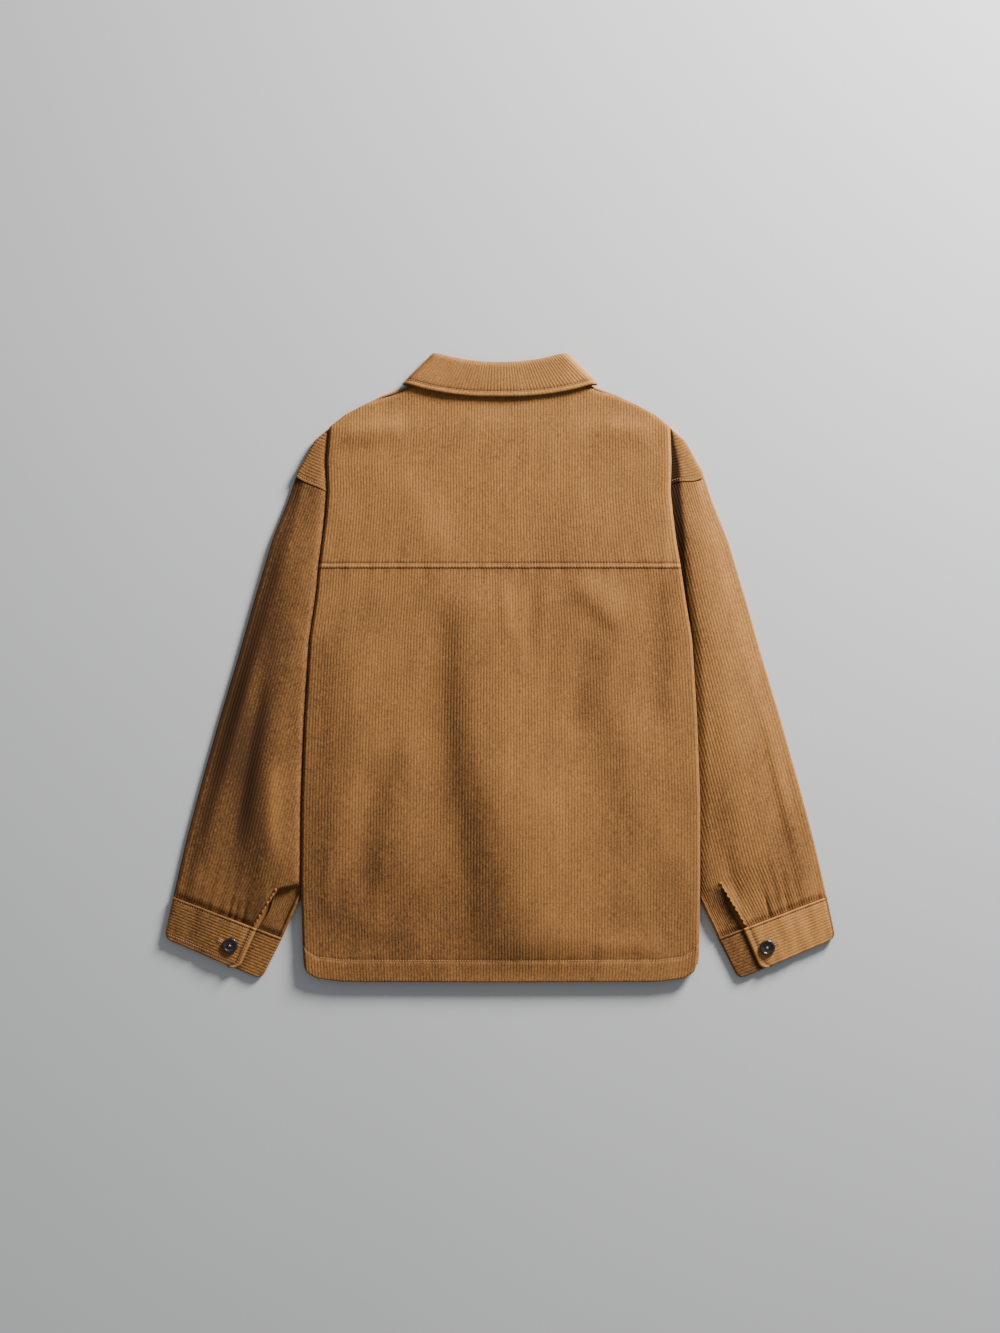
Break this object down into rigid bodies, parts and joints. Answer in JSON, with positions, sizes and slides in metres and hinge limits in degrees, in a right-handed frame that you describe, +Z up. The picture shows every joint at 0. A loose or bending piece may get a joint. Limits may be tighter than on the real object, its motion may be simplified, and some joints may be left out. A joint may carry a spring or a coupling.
{
  "type": "corduroy shacket",
  "caption": "Corduroy shirt-jacket laid flat with its back up: back with a straight yoke, drop shoulders, sleeves with buttoned cuffs, and a turned-down collar.",
  "frame": {"origin": "middle of the bounding box, on the surface that the garment lies on", "axes": "+X towards the wearer's right sleeve, +Y towards the collar, +Z up out of the surface, towards the garment's back"},
  "size_m": [0.806, 0.7549, 0.0124],
  "materials": {
    "corduroy": "ribbed pile, soft sheen",
    "button": "polished horn look"
  },
  "bodies": {
    "root": {"back_panel": "corduroy", "back_yoke": "corduroy", "front_left": "corduroy", "front_right": "corduroy", "shoulder_drop_left": "corduroy", "shoulder_drop_right": "corduroy", "sleeve_left": "corduroy", "sleeve_right": "corduroy", "cuff_left": "corduroy", "cuff_right": "corduroy", "collar_stand": "corduroy", "collar_fall": "corduroy", "front_button_1": "button", "front_button_2": "button", "front_button_3": "button", "front_button_4": "button", "front_button_5": "button", "front_button_6": "button", "cuff_button_left": "button", "cuff_button_right": "button"}
  },
  "joints": []
}
